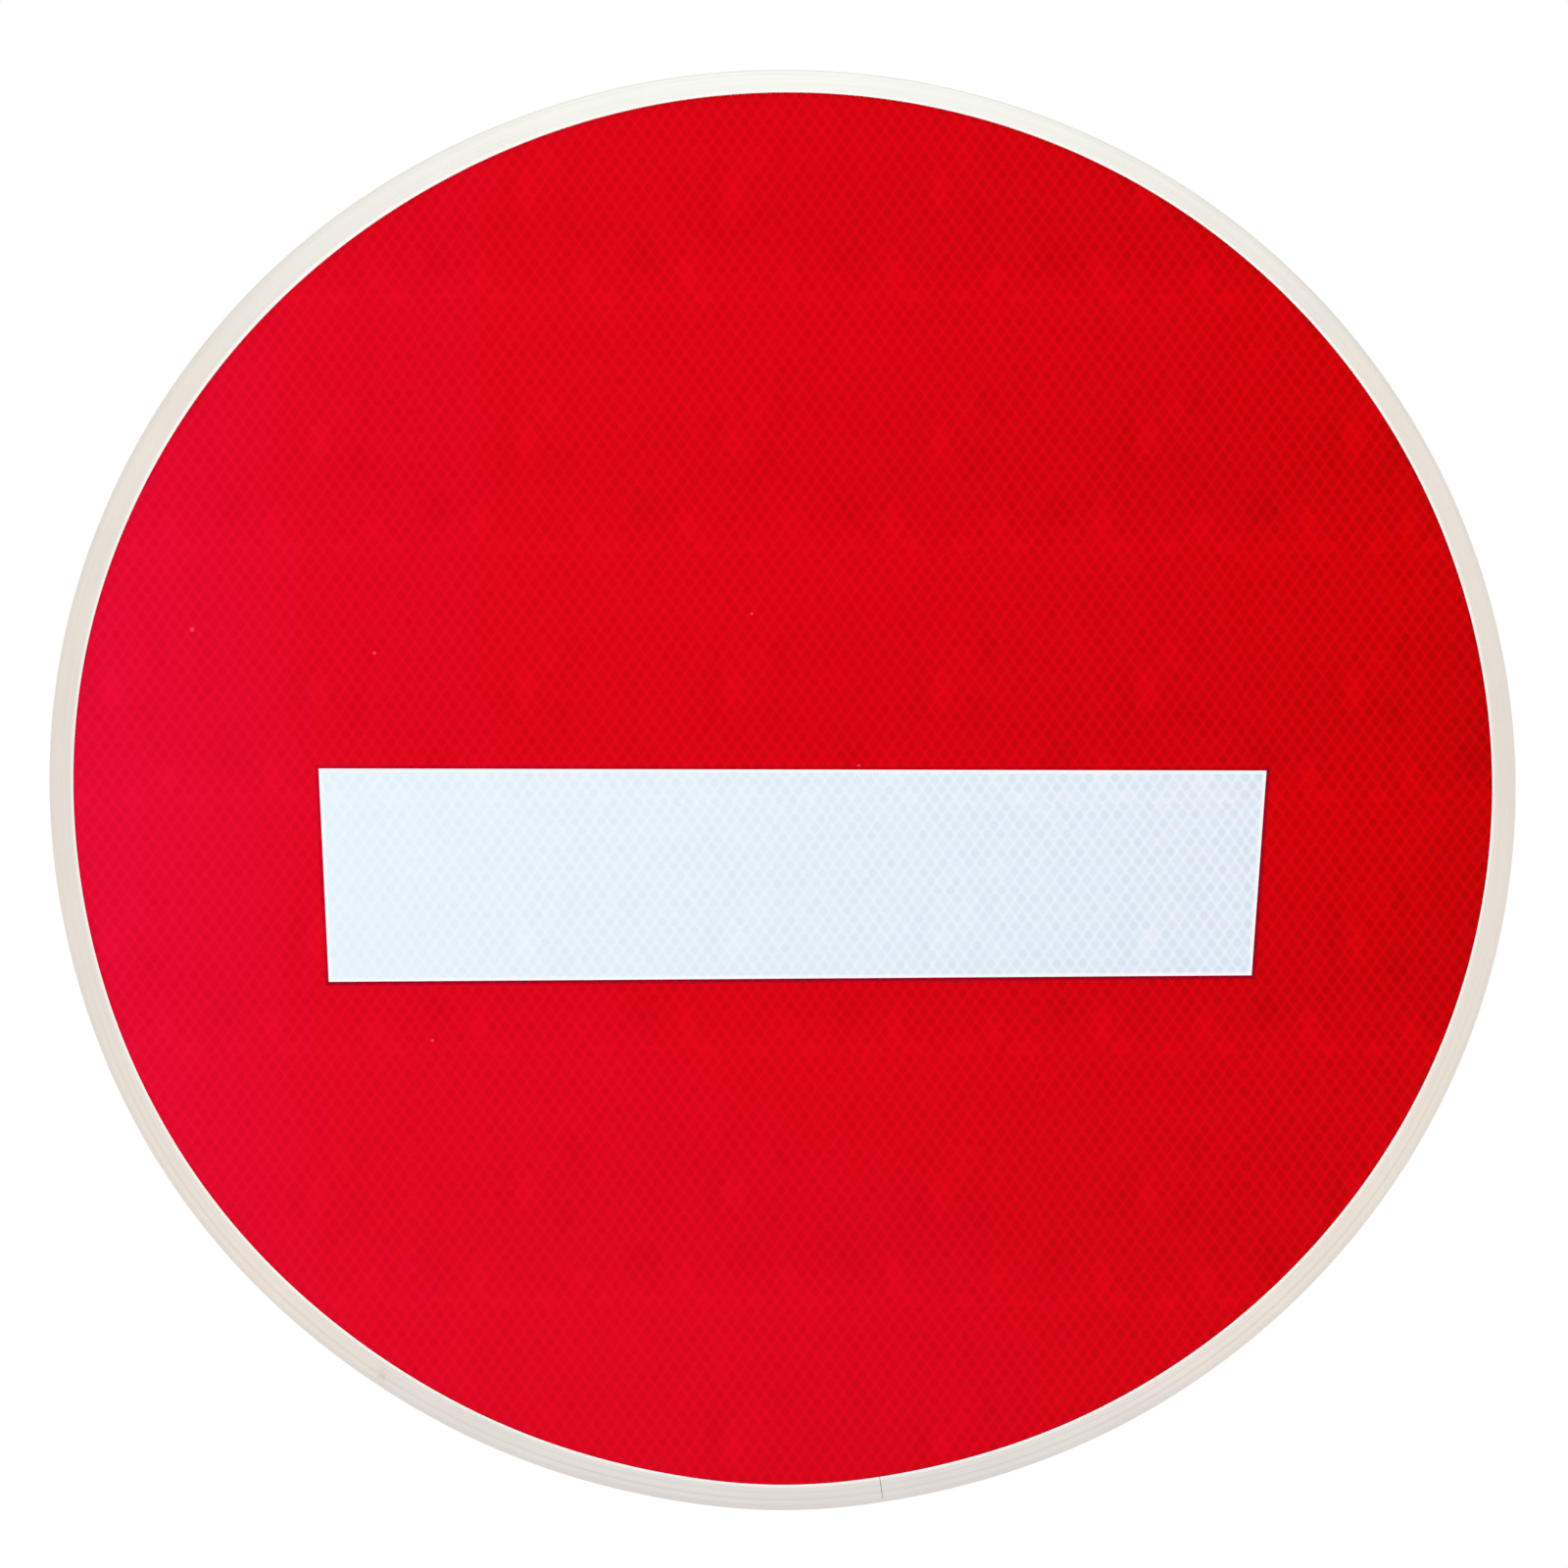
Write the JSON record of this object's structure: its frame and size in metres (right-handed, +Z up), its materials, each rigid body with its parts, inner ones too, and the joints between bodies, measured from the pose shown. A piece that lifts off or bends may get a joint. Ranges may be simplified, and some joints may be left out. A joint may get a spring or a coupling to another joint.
{
  "type": "no entry sign",
  "caption": "Round no entry traffic sign: red reflective face with a white bar, bent metal rim, and two slotted rails behind for clamps on a post.",
  "frame": {"origin": "the sign's centre, in the plane of the two rails' back faces, where the post's clamps bear", "axes": "+Z is up, +Y runs from the sign back to the post, so the face looks along -Y; +X is to the right as the face is seen"},
  "size_m": [0.6, 0.0189, 0.6],
  "materials": {
    "red_film": "red prismatic reflective film with a fine diamond pattern",
    "white_film": "cool white prismatic reflective film with a fine diamond pattern",
    "rim_metal": "bright mill-finish channel with fine lengthwise lines",
    "plate_metal": "rolled sheet, mill finish",
    "rail_metal": "mill-finish extrusion with die lines along it",
    "rivet_metal": "plain, formed",
    "screw_metal": "stainless, plain"
  },
  "bodies": {
    "root": {"sign_plate": "plate_metal", "red_sheeting": "red_film", "bar_sheeting": "white_film", "edge_profile": "rim_metal", "joint_splice": "rail_metal", "splice_screws": "screw_metal", "upper_rail": "rail_metal", "lower_rail": "rail_metal", "upper_rail_rivets": "rivet_metal", "lower_rail_rivets": "rivet_metal"}
  },
  "joints": []
}
